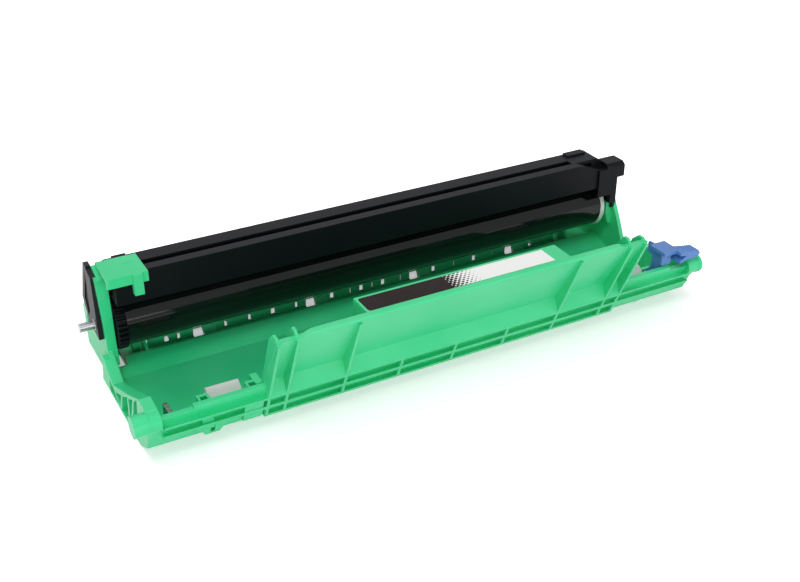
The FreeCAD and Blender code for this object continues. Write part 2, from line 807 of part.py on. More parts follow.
# the open lattice on the outside of the left wall
lattice = [
    ("heel_y", "heel_z"),
    ("dip_y", "dip_z"),
    ("brow_y", "brow_z"),
    ("corner_y", "corner_z"),
    ("nose_y", "nose_z"),
    (skirt_at("rim_z"), "rim_z"),
    (skirt_at("skirt_z"), "skirt_z"),
    ("bend_y - 1.0", "base_drop"),
    ("post_front + 5", "base_drop"),
    ("post_front + 2", "foot_z"),
    ("post_front", "heel_z + 1"),
]
pad(tray_ends, "lattice", SIDE, "-tray_half - side_skin - truss_reach", "truss_reach + 0.2",
    outlines=[lattice])
low_edge = "base_drop + truss_skin"
cells = [
    [
        ("dip_y - 1.2", "dip_z - truss_skin - 0.6"),
        ("dip_y - 1.2 - 5.4", low_edge),
        ("dip_y + 6", low_edge),
        ("dip_y + 6", "dip_z - truss_skin + 1"),
    ],
    [
        ("dip_y - 3", "dip_z - truss_skin - 0.2"),
        ("dip_y - 13", "dip_z + 2.6"),
        ("dip_y - 8.6", low_edge),
    ],
    [
        ("dip_y - 15", "dip_z + 3.4"),
        ("brow_y + 1.2", "brow_z - truss_skin - 0.6"),
        ("brow_y + 4", low_edge),
        ("dip_y - 10.6", low_edge),
    ],
    [
        ("brow_y - 0.8", "brow_z - truss_skin"),
        ("brow_y - 7.5", "brow_z + 2"),
        ("brow_y + 1.6", low_edge + " + 0.8"),
    ],
    [
        ("brow_y - 9.4", "brow_z + 2.4"),
        ("corner_y + 3.5", "corner_z - truss_skin - 1.2"),
        ("corner_y + 8.4", low_edge),
        ("brow_y - 1.2", low_edge),
    ],
]
pocket(tray_ends, "lattice_cells", SIDE, "-tray_half - side_skin + 0.001", "truss_reach + 1", outlines=cells)

# round bosses at the front corners
left_face = "tray_half + side_skin + truss_reach"
pad(tray_ends, "left_boss", SIDE, "-boss_left", "boss_left - (" + left_face + ")",
    circles=[("boss_y", "boss_z", "boss_radius")])
pad(tray_ends, "left_boss_root", SIDE, "-(" + left_face + ")", "side_skin + truss_reach",
    circles=[("boss_y", "boss_z", "boss_radius - boss_step")])
pad(tray_ends, "right_boss", SIDE, "tray_half + side_skin", "boss_right - tray_half - side_skin",
    circles=[("boss_y", "boss_z", "boss_radius - boss_step / 2")])
pad(tray_ends, "right_boss_root", SIDE, "tray_half - 4", "side_skin + 4",
    circles=[("boss_y", "boss_z", "boss_radius - boss_step")])
# lugs under the skirt on the left, and a shallow skirt on the right
pad(tray_ribs, "skirt_lug", SIDE, "-lug_left", "lug_left - lug_right", outlines=[[
    (front_at("rail_two_z"), "rail_two_z"),
    (front_at("lug_drop"), "lug_drop"),
    (skirt_at("lug_drop") + " + 1", "lug_drop"),
    (skirt_at("rail_two_z") + " + 1", "rail_two_z"),
]])
pocket(tray_ribs, "lug_slit", SIDE, "-(lug_left + lug_right) / 2 + lug_slit / 2", "lug_slit", outlines=[[
    (front_at("rail_two_z - rail_two_skin") + " - 1", "rail_two_z - rail_two_skin"),
    (front_at("lug_drop + 1.2") + " - 1", "lug_drop + 1.2"),
    (skirt_at("lug_drop + 1.2") + " - 0.4", "lug_drop + 1.2"),
    (skirt_at("rail_two_z - rail_two_skin") + " - 0.4", "rail_two_z - rail_two_skin"),
]])
pocket(tray_ribs, "lug_corners", FACE, "-front_y + 4", "14", outlines=[
    [
        ("-lug_left - 1", "rail_two_z - rail_two_skin"),
        ("-lug_left", "rail_two_z - rail_two_skin"),
        ("-lug_left + lug_taper", "lug_drop - 1"),
        ("-lug_left - 1", "lug_drop - 1"),
    ],
    [
        ("-lug_right + 1", "rail_two_z - rail_two_skin"),
        ("-lug_right + 1", "lug_drop - 1"),
        ("-lug_right - lug_taper", "lug_drop - 1"),
        ("-lug_right", "rail_two_z - rail_two_skin"),
    ],
])
pad(tray_ribs, "skirt_pad", SIDE, "-pad_left", "pad_left - pad_right", outlines=[[
    (front_at("rail_z - rail_skin") + " + 0.3", "rail_z - rail_skin"),
    (front_at("rail_three_z") + " + 0.3", "rail_three_z"),
    (skirt_at("rail_three_z") + " + 1", "rail_three_z"),
    (skirt_at("rail_z - rail_skin") + " + 1", "rail_z - rail_skin"),
]])
pad(tray_ribs, "right_skirt", SIDE, "wall_half - 1", "rail_end - wall_half - 5", outlines=[[
    (front_at("rail_two_z - rail_two_skin - 2.4") + " + 0.4", "rail_two_z - rail_two_skin - 2.4"),
    (front_at("rail_two_z - 0.4") + " + 0.4", "rail_two_z - 0.4"),
    (skirt_at("rail_two_z - 0.4") + " + 1", "rail_two_z - 0.4"),
    (skirt_at("rail_two_z - rail_two_skin - 2.4") + " + 1", "rail_two_z - rail_two_skin - 2.4"),
]])

# a block with a square hole on either side of the left pusher, and a stop
# between that pusher and the high wall
catches = []
for place in ("-catch_left", "-catch_right"):
    catches.append((place + " - catch_half", place + " + catch_half", "catch_front", "catch_back"))
    catches.append((place + " - catch_hole", place + " + catch_hole",
                    "(catch_front + catch_back) / 2 - catch_hole",
                    "(catch_front + catch_back) / 2 + catch_hole"))
pad(tray_ribs, "catches", PLAN, "catch_foot", "catch_top - catch_foot", boxes=catches)
pad(tray_ribs, "stop", SIDE, "-stop_out", "stop_out - wall_half + 0.6", outlines=[[
    ("wall_foot_y + rim_width - 0.5", "stop_top"),
    ("stop_back - 0.8", "stop_top"),
    ("stop_back", "stop_top - 2"),
    ("stop_back - 4.6", "stop_low"),
    ("wall_foot_y + rim_width + 1", "stop_low"),
]])

# pusher ears and lever lugs stand on the floor
ears = []
for side in ("-", ""):
    for edge in ("- pusher_width / 2 - side_gap - ear_skin", "+ pusher_width / 2 + side_gap"):
        ears.append((side + "pusher_mid " + edge))
tray_seats = new_body("tray_seats")
for number, start in enumerate(ears, start=1):
    pad(tray_seats, "ear_%d" % number, SIDE, start, "ear_skin", outlines=[[
        ("trunnion_y - ear_half - 1", "floor_top - 1.2"),
        ("trunnion_y - ear_half", "trunnion_z + ear_half"),
        ("trunnion_y + ear_half", "trunnion_z + ear_half"),
        ("trunnion_y + ear_half + 1", "floor_top - 1.2"),
    ]])
for name, low, high, foot in (
        ("lever_lug_front", "eye_front - free_gap - lever_lug_skin", "eye_front - free_gap", "lug_low"),
        ("lever_lug_back", "eye_back + free_gap", "eye_back + free_gap + lever_lug_skin", "floor_top - 0.5")):
    pad(tray_seats, name, PLAN, foot, "pivot_z + eye_radius - (" + foot + ")",
        boxes=[("lever_x - eye_radius", "lever_x + eye_radius", low, high)])

# the holes that go through several of those pieces
tray_holes = new_body("tray_holes")
pad(tray_holes, "trunnion_slots", SIDE, "-pusher_mid - pusher_width", "2 * (pusher_mid + pusher_width)",
    boxes=[("trunnion_y - trunnion_radius - run_gap", "trunnion_y + trunnion_radius + run_gap",
            "trunnion_z - trunnion_radius - run_gap", "trunnion_z + ear_half + 0.2")])
pad(tray_holes, "lever_pin_hole", FACE, "-eye_back - free_gap - lever_lug_skin",
    "eye_back - eye_front + 2 * free_gap + 2 * lever_lug_skin",
    circles=[("lever_x", "pivot_z", "pivot_radius")])
pad(tray_holes, "shaft_holes", SIDE, "-boss_left", "boss_left + boss_right",
    circles=[("0", "0", "shaft_radius")])
pad(tray_holes, "gear_well", PLAN, "base_drop - 1", "gate_z - base_drop + 2",
    boxes=[("-well_out", "-well_in", "well_front", "well_back")])
gaps = []
for step in range(4):
    left = "gap_first + %d * gap_pitch" % step
    gaps.append([
        (left, "base_drop - 1"),
        (left + " + gap_low", "base_drop - 1"),
        (left + " + gap_high", "window_high"),
        (left, "window_high"),
    ])
pad(tray_holes, "screen_gaps", FACE, "-screen_back - 1", "screen_back - inlet_far + 0.1", outlines=gaps)
pad(tray_holes, "wall_hole", SIDE, "-tray_half - side_skin - 1", "side_skin + 2",
    circles=[("shoulder_y + 5", "haunch_z - 4", "3.2")])

pieces = [tray_front, tray_floor, tray_ribs, tray_ends, tray_seats]
joined = pieces[0]
for number, piece in enumerate(pieces[1:], start=1):
    fuse = doc.addObject("Part::Fuse", "tray_join_%d" % number)
    fuse.Base = joined
    fuse.Tool = piece
    joined = fuse
tray = doc.addObject("Part::Cut", "tray")
tray.Label = "tray"
tray.Base = joined
tray.Tool = tray_holes
tray.Refine = True

# The drum and its shaft
drum_shaft = new_body("drum_shaft")
turned(drum_shaft, "shaft_rod", [
    ("-shaft_left", "0"),
    ("-shaft_left", "shaft_end_radius"),
    ("-shaft_left + shaft_end_long", "shaft_end_radius"),
    ("-shaft_left + shaft_end_long", "shaft_radius"),
    ("shaft_right", "shaft_radius"),
    ("shaft_right", "0"),
])

drum_tube = new_body("drum_tube")
pad(drum_tube, "tube_wall_pad", SIDE, "-tube_length / 2", "tube_length",
    circles=[("0", "0", "tube_radius"), ("0", "0", "tube_radius - tube_wall")])

centre_distance = "(tube_radius + sponge_radius + nip_gap)"
module = "(2 * (tube_radius + sponge_radius + nip_gap) / (drum_teeth + roller_teeth))"


def tooth_profile(teeth, angle):
    """One straight-flanked tooth as a closed outline, rooted inside the gear's core."""
    pitch = module + " * " + teeth + " / 2"
    tip = "(" + pitch + " + 0.95 * " + module + ")"
    root = "(" + pitch + " - 1.45 * " + module + ")"
    half = "(360 * tooth_share / 2 / " + teeth + ")"
    spots = []
    for radius, share in ((root, "-1.55"), (tip, "-0.5"), (tip, "0.5"), (root, "1.55")):
        turn = "(" + angle + " + " + share + " * " + half + ")"
        spots.append((radius + " * cos(" + turn + " * 1deg)", radius + " * sin(" + turn + " * 1deg)"))
    return spots


def gear(body, teeth, width, length, core, bore, angle):
    """A spur gear along X about its body's axis. The core may run on past the teeth as a plug."""
    pad(body, body.Label + "_core", SIDE, "-gear_start", length,
        circles=[("0", "0", core), ("0", "0", bore)])
    tooth = pad(body, body.Label + "_tooth", SIDE, "-gear_start", width,
                outlines=[tooth_profile(teeth, angle)])
    ring = body.newObject("PartDesign::PolarPattern", body.Label + "_teeth")
    ring.Originals = [tooth]
    ring.Axis = (origin_of(body, "X_Axis"), [""])
    ring.Angle = 360
    ring.setExpression("Occurrences", bind(teeth))
    body.Tip = ring


drum_gear = new_body("drum_gear")
gear(drum_gear, "drum_teeth", "gear_width", "gear_start - tube_length / 2 + flange_plug",
     "tube_radius - tube_wall", "shaft_radius + run_gap", "nip_angle")

drum_end_flange = new_body("drum_end_flange")
turned(drum_end_flange, "flange_ring", [
    ("tube_length / 2 - flange_plug", "shaft_radius + run_gap"),
    ("tube_length / 2 - flange_plug", "tube_radius - tube_wall"),
    ("tube_length / 2", "tube_radius - tube_wall"),
    ("tube_length / 2", "tube_radius + flange_rise"),
    ("tube_length / 2 + flange_lip", "tube_radius + flange_rise"),
    ("tube_length / 2 + flange_lip", "shaft_radius + run_gap"),
])

# The transfer roller: its bodies are drawn about the roller's own axis and placed at the nip


def at_nip(body):
    body.setExpression("Placement.Base.y", bind("axis_y + " + centre_distance + " * cos(nip_angle * 1deg)"))
    body.setExpression("Placement.Base.z", bind("axis_z + " + centre_distance + " * sin(nip_angle * 1deg)"))


transfer_shaft = new_body("transfer_shaft")
at_nip(transfer_shaft)
pad(transfer_shaft, "roller_rod", SIDE, "-gear_start", "gear_start + roller_shaft_right",
    circles=[("0", "0", "roller_shaft_radius")])

transfer_sponge = new_body("transfer_sponge")
at_nip(transfer_sponge)
pad(transfer_sponge, "sponge_sleeve", SIDE, "-sponge_half", "2 * sponge_half",
    circles=[("0", "0", "sponge_radius"), ("0", "0", "roller_shaft_radius")])

transfer_gear = new_body("transfer_gear")
at_nip(transfer_gear)
gear(transfer_gear, "roller_teeth", "gear_width", "gear_width",
     module + " * roller_teeth / 2 - 1.35 * " + module, "roller_shaft_radius", "nip_angle")

for label, start in (("transfer_bearing_left", "-bearing_near - bearing_width"),
                     ("transfer_bearing_right", "bearing_near")):
    bearing = new_body(label)
    at_nip(bearing)
    seat = "floor_top - " + centre_distance + " * sin(nip_angle * 1deg)"
    pad(bearing, label + "_block", SIDE, start, "bearing_width",
        outlines=[[
            ("-bearing_half", seat),
            ("bearing_half", seat),
            ("bearing_half", "bearing_top - 1.4"),
            ("bearing_half - 1.4", "bearing_top"),
            ("-bearing_half + 1.4", "bearing_top"),
            ("-bearing_half", "bearing_top - 1.4"),
        ]],
        circles=[("0", "0", "roller_shaft_radius + run_gap")])

# The charger housing
charger_housing = new_body("charger_housing")
pad(charger_housing, "hood", SIDE, "-hood_left", "hood_left + hood_right", outlines=[[
    ("hood_front", "hood_lip"),
    ("hood_front", "hood_top"),
    ("hood_back", "hood_top"),
    ("hip_y", "hip_z"),
    ("hip_y", "hip_foot"),
    ("hip_y - hood_skin", "hip_foot"),
    ("hip_y - hood_skin", "hip_z - 0.6"),
    ("shelf_front + hood_skin", "hood_top - 2.6 * hood_skin"),
    ("shelf_front + hood_skin", "shelf_foot"),
    ("shelf_front", "shelf_foot"),
    ("shelf_front", "hood_top - hood_skin"),
    ("hood_front + hood_skin", "hood_top - hood_skin"),
    ("hood_front + hood_skin", "hood_lip"),
]])
pocket(charger_housing, "groove", PLAN, "hood_top + 1", "hood_skin + 2",
       boxes=[("-hood_left + groove_end", "groove_right", "groove_front", "groove_back")])
pad(charger_housing, "bump", PLAN, "hood_top - 0.2", "bump_rise + 0.2",
    boxes=[("-bump_left", "-bump_right", "slider_back + free_gap", "hood_back - 0.2"),
           ("ridge_left", "hood_right",
            "slider_back + free_gap", "hood_back - 0.2")])
pad(charger_housing, "left_bulkhead", SIDE, "-hood_left", "1.4", outlines=[[
    ("hood_front + 0.5", "hood_top - 0.5"),
    ("hood_back", "hood_top - 0.5"),
    ("hip_y - 0.5", "hip_z"),
    ("hip_y - 7.4", "shelf_foot - 1.1"),
    ("shelf_front", "shelf_foot"),
    ("hood_front + 0.5", "hood_lip"),
]])
pad(charger_housing, "left_tab", SIDE, "-tray_half", "tray_half - hood_left + 1", boxes=[
    ("post_front + post_deep + 1", "hood_back + 4", "shelf_foot + 1", "shelf_foot + 8")])
pad(charger_housing, "right_bulkhead", SIDE, "hood_right - 1.4", "1.4", outlines=[[
    ("hood_front + 0.5", "hood_top - 0.5"),
    ("hood_back", "hood_top - 0.5"),
    ("shelf_front + hood_skin", "shelf_foot"),
    ("hood_front + 0.5", "hood_lip"),
]])

# the front corner falls away towards the end cap, over a solid block
pad(charger_housing, "corner_block", PLAN, "corner_foot", "hood_top - corner_foot", boxes=[
    ("corner_left - 0.6", "hood_right", "hood_front", "corner_back")])
pocket(charger_housing, "corner_slope", FACE, "-hood_front + 1", "corner_back - hood_front + 1", outlines=[[
    ("corner_left", "hood_top"),
    ("corner_left", "hood_top + 1"),
    ("hood_right + 1", "hood_top + 1"),
    ("hood_right + 1", "hood_top - corner_fall"),
]])

left_side_cover = new_body("left_side_cover")
pad(left_side_cover, "cover_plate", SIDE, "-tray_half - side_skin - cover_skin", "cover_skin", outlines=[[
    ("hood_back + 1.8", "hood_top"),
    ("hip_y", "hip_z"),
    ("cover_chin_y", "cover_chin_z"),
    ("cover_tip_y + 1.2", "cover_tip_z"),
    ("post_front + post_deep + free_gap", "cover_tip_z + 2"),
    ("post_front + post_deep + free_gap", "hood_top - 3"),
    ("hook_back + free_gap", "hood_top - 1"),
    ("hook_back + free_gap", "hood_top"),
]])
pocket(left_side_cover, "cover_shaft_hole", SIDE, "-tray_half", "side_skin + cover_skin + 1",
       circles=[("0", "0", "shaft_radius + run_gap")])
pocket(left_side_cover, "cover_recess", SIDE, "-tray_half - side_skin - cover_skin + 0.8", "2", outlines=[[
    ("hook_back + 3", "hood_top - 4"),
    ("hip_y - 4.5", "hip_z + 1.5"),
    ("cover_chin_y - 1", "cover_chin_z + 3"),
    ("4.5", "4.5"),
]])

right_end_cap = new_body("right_end_cap")
pad(right_end_cap, "cap_plate", SIDE, "cap_out", "cap_end - cap_out", outlines=[[
    ("cap_front", "cap_lip_z"),
    ("cap_front", "hood_top - cap_chamfer"),
    ("cap_front + cap_chamfer", "hood_top"),
    ("hood_back", "hood_top"),
    ("hip_y", "hip_z + 2"),
    ("hip_y", "right_top - 3"),
    ("right_front + 4", "right_top - 3"),
    ("right_front + 1", "cap_lip_z"),
]])
pad(right_end_cap, "cap_hood", SIDE, "hood_right", "cap_out - hood_right + 0.2", outlines=[[
    ("cap_front", "cap_hood_drop"),
    ("cap_front", "hood_top - cap_chamfer"),
    ("cap_front + cap_chamfer", "hood_top"),
    ("hood_back", "hood_top"),
    ("hip_y", "hip_z + 2"),
    ("hip_y", "hip_foot + 2"),
    ("hip_y - hood_skin", "hip_foot + 2"),
    ("hip_y - hood_skin - 6", "hip_foot + 9"),
    ("0.5", "shelf_foot"),
    ("cap_front + 3.4", "shelf_foot"),
    ("cap_front + hood_skin", "cap_hood_drop + 2"),
    ("cap_front + hood_skin", "cap_hood_drop"),
]])
pocket(right_end_cap, "cap_slope", FACE, "-cap_front + 1", "hip_y - cap_front + 2", outlines=[[
    ("slope_x", "hood_top"),
    ("slope_x", "hood_top + 2"),
    ("cap_end + 1", "hood_top + 2"),
    ("cap_end + 1", "slope_z"),
]])
pocket(right_end_cap, "cap_step", PLAN, "hood_top + 1", "corner_fall + 1", boxes=[
    ("hood_right - 1", "cap_end - 7", "cap_front - 1", "corner_back")])
pad(right_end_cap, "tongue", SIDE, "tongue_in", "cap_end - tongue_in", outlines=[[
    ("cap_front", "cap_lip_z + 6"),
    ("right_front - 0.6", "cap_lip_z + 6"),
    ("right_front - 0.6", "tongue_z"),
    ("right_front - 1.4", "tongue_z"),
    ("cap_front", "cap_lip_z"),
]])
pad(right_end_cap, "contact_block", SIDE, "cap_end - 7", "block_end - cap_end + 7", outlines=[[
    ("cap_front + 0.4", "block_low"),
    ("cap_front + 0.4", "block_top - 1.6"),
    ("cap_front + 2.4", "block_top"),
    ("block_back", "block_top"),
    ("block_back", "block_low"),
]])

# The wire and its cleaner
corona_wire = new_body("corona_wire")
pad(corona_wire, "wire_run", SIDE, "-wire_left", "wire_left + wire_right", outlines=[[
    ("wire_y + wire_radius * cos(%d * 60deg)" % step, "wire_z + wire_radius * sin(%d * 60deg)" % step)
    for step in range(6)
]])
wire_cleaner = new_body("wire_cleaner")
deck_low = "hood_top + free_gap"
deck_high = "hood_top + free_gap + slider_skin"
pad(wire_cleaner, "slider_plate", PLAN, deck_low, "slider_skin",
    boxes=[("-slider_left", "-slider_left + slider_length", "slider_front", "slider_back")])
pad(wire_cleaner, "slider_lip_pad", PLAN, deck_high + " - slider_lip", "slider_lip",
    boxes=[("-slider_left", "-slider_left + slider_length", "slider_front", "slider_front + slider_skin")])
pad(wire_cleaner, "finger", PLAN, deck_high + " - finger_drop", "finger_drop",
    boxes=[("-finger_left", "-finger_right",
            "slider_front - finger_reach", "slider_front + slider_skin - 0.2")])
pad(wire_cleaner, "slider_end", PLAN, deck_high + " - slider_lip", "slider_lip",
    boxes=[("-slider_left + slider_length - 1.4", "-slider_left + slider_length",
            "slider_front", "hood_front - free_gap - 0.4")])
stem_low = "wire_z + wire_radius + free_gap + pad_height"
pad(wire_cleaner, "stem", PLAN, stem_low, deck_low + " + 0.2 - (" + stem_low + ")",
    boxes=[("-stem_x - stem_half", "-stem_x + stem_half",
            "groove_front + free_gap", "groove_back - free_gap")])
pad(wire_cleaner, "stem_foot", PLAN, "hood_top - hood_skin - free_gap - 1.2", "1.2",
    boxes=[("-stem_x - stem_half", "-stem_x + stem_half",
            "groove_front - foot_reach", "groove_back + foot_reach")])

pad(wire_cleaner, "mark", PLAN, deck_high + " - 0.2", "mark_rise + 0.2",
    boxes=[("-mark_left", "-mark_right", "mark_front", "mark_back")])

cleaner_pads = new_body("cleaner_pads")
pad(cleaner_pads, "pad_upper", PLAN, "wire_z + wire_radius + free_gap", "pad_height",
    boxes=[("-stem_x - stem_half", "-stem_x + stem_half",
            "groove_front + free_gap", "groove_back - free_gap")])

grid_plate = new_body("grid_plate")
pad(grid_plate, "grid_sheet", PLAN, "hood_lip", "grid_skin",
    boxes=[("-hood_left + 1.4", "hood_right - 1.4", "hood_front + hood_skin", "shelf_front")])
cell = pocket(grid_plate, "grid_cell", PLAN, "hood_lip + grid_skin + 1", "grid_skin + 2",
              boxes=[("-hood_left + 8", "-hood_left + 8 + grid_slot_long",
                      "wire_y - grid_slot_wide / 2", "wire_y + grid_slot_wide / 2")])
row_of(grid_plate, "grid_cells", cell, "hood_left + hood_right - 16 - grid_slot_long", "grid_slot_count")

# The cleaning brush and the discharge strip
dust_brush = new_body("dust_brush")
pad(dust_brush, "brush_block", SIDE, "-sponge_half", "2 * sponge_half", boxes=[
    ("tube_radius + free_gap", "hip_y - hood_skin", "hip_z - brush_height + 1", "hip_z - 1")])

discharge_plate = new_body("discharge_plate")
pad(discharge_plate, "discharge_strip", SIDE, "-needle_half", "2 * needle_half", boxes=[
    ("fin_front - strip_skin", "fin_front", "floor_top", "fin_nose_z")])

# The lock lever
lock_lever = new_body("lock_lever")
pad(lock_lever, "lever_web", SIDE, "lever_x - lever_skin / 2", "lever_skin", outlines=[[
    ("lever_front", "lever_roof"),
    ("lever_front", "rim_z + step_rise + 0.8"),
    ("lever_front + 2.4", "rim_z + step_rise + 0.8"),
    ("eye_front", "pivot_z + eye_radius + free_gap"),
    ("eye_front", "pivot_z - 1"),
    ("eye_back", "pivot_z - 1"),
    ("eye_back", "pivot_z + 2.2"),
    ("lever_back", "pivot_z + 7"),
    ("lever_back", "lever_roof"),
]])
pad(lock_lever, "lever_eye", FACE, "-eye_back", "eye_back - eye_front",
    circles=[("lever_x", "pivot_z", "eye_radius - 0.3")])
pad(lock_lever, "lever_roof_pad", PLAN, "lever_roof - lever_roof_skin", "lever_roof_skin",
    boxes=[("lever_roof_left", "lever_roof_right", "lever_front - 1.8", "lever_back")])
pad(lock_lever, "lever_wing", SIDE, "lever_x - lever_skin / 2", "1.2", outlines=[[
    ("lever_back - 0.5", "lever_roof"),
    ("lever_wing_back", "lever_roof - 0.4"),
    ("lever_wing_back", "lever_roof - lever_wing_drop"),
    ("lever_back - 0.5", "lever_roof - lever_wing_drop - 1.2"),
]])
pad(lock_lever, "thumb", FACE, "-thumb_back", "thumb_back - thumb_front", outlines=[[
    ("lever_roof_right - 1.5", "lever_roof"),
    ("thumb_end - 1", "thumb_tail_z + 0.4"),
    ("thumb_end", "thumb_tail_z - 0.6"),
    ("thumb_end - 1.2", "thumb_low + 0.2"),
    ("lever_roof_right + 0.6", "thumb_low - 0.6"),
    ("lever_roof_right - 1.6", "thumb_low - 1.4"),
    ("lever_roof_right - 1.2", "thumb_low - 0.2"),
    ("lever_roof_right + 2.2", "lever_roof - 2.2"),
    ("lever_roof_right - 1.5", "lever_roof - lever_roof_skin"),
]])
# saw teeth across the thumb's top, which slopes down to its tip
fall = "(lever_roof - thumb_tail_z - 0.4) / (thumb_end - 1 - lever_roof_right + 1.5)"
teeth = [("ridge_first", "lever_roof - 1.4"), ("ridge_first", "lever_roof - 0.4")]
for step in range(6):
    at = "(ridge_first + %d * ridge_pitch)" % step
    level = "lever_roof - (" + at + " - lever_roof_right + 1.5) * " + fall
    teeth.append((at + " + ridge_pitch * 0.6", level + " + ridge_rise"))
    teeth.append((at + " + ridge_pitch", level + " - 0.2"))
teeth.append(("ridge_first + 6 * ridge_pitch", "thumb_tail_z - 0.6"))
pad(lock_lever, "ridges", FACE, "-thumb_back", "thumb_back - thumb_front", outlines=[teeth])
stem_low = "rim_z + step_rise + 0.8"
pad(lock_lever, "stem_flange", PLAN, stem_low, "lever_roof - 0.5 - (" + stem_low + ")",
    boxes=[("lever_x - stem_flange_half", "lever_x + stem_flange_half",
            "lever_front", "lever_front + stem_flange_skin")])
pocket(lock_lever, "thumb_hollow", PLAN, "lever_roof - 3.2", "8",
       boxes=[("lever_roof_right + 4", "thumb_end - 2.6",
               "thumb_front + thumb_skin", "thumb_back - thumb_skin")])
pocket(lock_lever, "lever_bore", FACE, "-eye_front + 1", "eye_back - eye_front + 2",
       circles=[("lever_x", "pivot_z", "pivot_radius + run_gap")])

lever_pin = new_body("lever_pin")
pad(lever_pin, "lever_pin_rod", FACE, "-eye_back - free_gap - lever_lug_skin",
    "eye_back - eye_front + 2 * free_gap + 2 * lever_lug_skin",
    circles=[("lever_x", "pivot_z", "pivot_radius")])

# The pushers
for label, side in (("pusher_left", "-"), ("pusher_right", "")):
    pusher = new_body(label)
    pad(pusher, label + "_body", SIDE, side + "pusher_mid - pusher_width / 2", "pusher_width", outlines=[[
        ("pusher_front", "pusher_top - 3.6"),
        ("pusher_back - 1.6", "pusher_top"),
        ("pusher_back", "pusher_top"),
        ("pusher_toe_y", "pusher_toe_z"),
        ("pusher_toe_y", "trunnion_z - 2"),
        ("trunnion_y - 1.6", "trunnion_z - 1.6"),
        ("pusher_front + 5.4", "pusher_toe_z + 1"),
    ]])
    pad(pusher, label + "_trunnions", SIDE,
        side + "pusher_mid - pusher_width / 2 - side_gap - trunnion_reach",
        "pusher_width + 2 * side_gap + 2 * trunnion_reach",
        circles=[("trunnion_y", "trunnion_z", "trunnion_radius")])

# The contact strip in the corner
contact_strip = new_body("contact_strip")
pad(contact_strip, "strip_bend", SIDE, "-tab_x - tab_width / 2", "tab_width", outlines=[[
    ("tab_back", slope_at("tab_back")),
    ("tab_back - tab_skin", slope_at("tab_back - tab_skin")),
    ("tab_back - tab_skin", "tab_top"),
    ("tab_front", "tab_top + 0.6"),
    ("tab_front", "tab_top + 0.6 + tab_skin"),
    ("tab_back", "tab_top + tab_skin"),
]])

doc.recompute()

PIECES = {o.Name for o in pieces} | {"tray_holes"}
KEEP = [tray] + [o for o in doc.Objects if o.TypeId == "PartDesign::Body" and o.Name not in PIECES]
bad = []
for item in doc.Objects:
    if "Invalid" in item.State or "Error" in item.State:
        bad.append("%s: %s" % (item.Name, item.State))
for item in KEEP:
    if item.Shape.isNull() or not item.Shape.isValid() or not item.Shape.Solids:
        bad.append("%s: no valid shape" % item.Label)
if bad:
    raise RuntimeError("; ".join(bad))

os.makedirs("parts", exist_ok=True)
for item in KEEP:
    item.Shape.exportStep(os.path.join("parts", item.Label + ".step"))
    box = item.Shape.BoundBox
    print("%-24s solids %d  %8.1f mm3  x %.1f..%.1f y %.1f..%.1f z %.1f..%.1f" % (
        item.Label, len(item.Shape.Solids), item.Shape.Volume,
        box.XMin, box.XMax, box.YMin, box.YMax, box.ZMin, box.ZMax))
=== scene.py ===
import json
import math

import bmesh
import bpy
from mathutils import Matrix, Vector


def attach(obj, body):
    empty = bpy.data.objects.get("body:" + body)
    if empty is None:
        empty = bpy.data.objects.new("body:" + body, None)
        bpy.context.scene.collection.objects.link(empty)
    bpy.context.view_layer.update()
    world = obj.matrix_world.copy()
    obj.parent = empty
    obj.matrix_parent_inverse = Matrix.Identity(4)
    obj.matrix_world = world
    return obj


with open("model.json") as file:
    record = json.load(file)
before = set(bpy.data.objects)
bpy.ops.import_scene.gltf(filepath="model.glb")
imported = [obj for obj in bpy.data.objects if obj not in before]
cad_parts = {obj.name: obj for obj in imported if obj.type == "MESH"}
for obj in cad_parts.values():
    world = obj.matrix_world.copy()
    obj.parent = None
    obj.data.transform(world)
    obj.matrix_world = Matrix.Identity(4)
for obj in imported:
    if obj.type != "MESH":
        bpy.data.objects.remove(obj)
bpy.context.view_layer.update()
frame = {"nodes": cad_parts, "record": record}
nodes = frame["nodes"]

MM = 0.001

BLACK = (0.0, 0.0, 0.0)
WHITE = (1.0, 1.0, 1.0)

# where the drum's middle is in the finished part, in millimetres
DRUM_MIDDLE = {"X": 3.5, "Y": 30.4, "Z": 26.0}

# a soft noise stays mostly between these two values
NOISE_LOW = 0.3
NOISE_HIGH = 0.7

# cosine between a face and its rounded edge, where the edge begins and where it is full
EDGE_BEGINS = 0.995
EDGE_FULL = 0.85


class Value:
    """A number that changes over a surface or with the ray. Sums and products add their own nodes."""

    def __init__(self, owner, socket):
        self.owner = owner
        self.socket = socket

    def combine(self, operation, first, second):
        made = self.owner.node("Math", {0: first, 1: second}, operation=operation)
        return Value(self.owner, made.outputs[0])

    def __add__(self, other):
        return self.combine("ADD", self, other)

    def __radd__(self, other):
        return self.combine("ADD", other, self)

    def __sub__(self, other):
        return self.combine("SUBTRACT", self, other)

    def __rsub__(self, other):
        return self.combine("SUBTRACT", other, self)

    def __mul__(self, other):
        return self.combine("MULTIPLY", self, other)

    def __rmul__(self, other):
        return self.combine("MULTIPLY", other, self)

    def __pow__(self, other):
        return self.combine("POWER", self, other)

    def __abs__(self):
        return (self ** 2.0) ** 0.5

    def __lt__(self, other):
        return self.combine("LESS_THAN", self, other)

    def __gt__(self, other):
        return self.combine("GREATER_THAN", self, other)

    def least(self, other):
        return self.combine("MINIMUM", self, other)

    def most(self, other):
        return self.combine("MAXIMUM", self, other)

    def wrap(self, period):
        return self.combine("FLOORED_MODULO", self, period)


